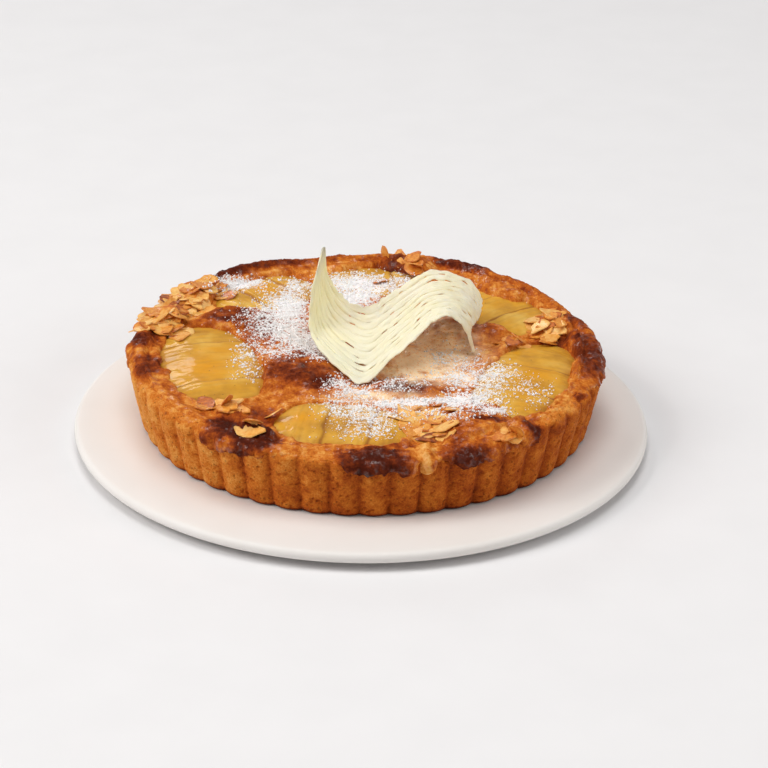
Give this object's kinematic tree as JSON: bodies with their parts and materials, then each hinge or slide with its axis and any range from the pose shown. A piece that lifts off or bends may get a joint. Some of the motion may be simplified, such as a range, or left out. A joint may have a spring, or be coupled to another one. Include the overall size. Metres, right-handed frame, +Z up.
{
  "type": "frangipane tart",
  "caption": "Whole fluted tart case filled with frangipane, sliced pear halves and flaked almonds, a wavy white lattice on top, on a flat round cake plate.",
  "frame": {"origin": "middle of the plate's foot ring, on the surface the plate stands on", "axes": "+Z up, -Y towards the side that faces the camera in the picture, +X to its right"},
  "size_m": [0.31, 0.31, 0.1004],
  "materials": {
    "plate_glaze": "satin off-white glaze",
    "baked_pastry": "matte baked shortcrust, golden to dark brown, glazed on the rim",
    "frangipane": "browned almond sponge with glossy apricot glaze in places",
    "poached_pear": "moist glazed pear flesh",
    "white_chocolate": "satin ivory"
  },
  "bodies": {
    "root": {"plate": "plate_glaze", "crust": "baked_pastry", "filling": "frangipane", "pear_left": "poached_pear", "pear_front": "poached_pear", "pear_right": "poached_pear", "pear_right_back": "poached_pear", "pear_back": "poached_pear", "pear_back_left": "poached_pear", "chocolate_lattice": "white_chocolate"}
  },
  "joints": []
}
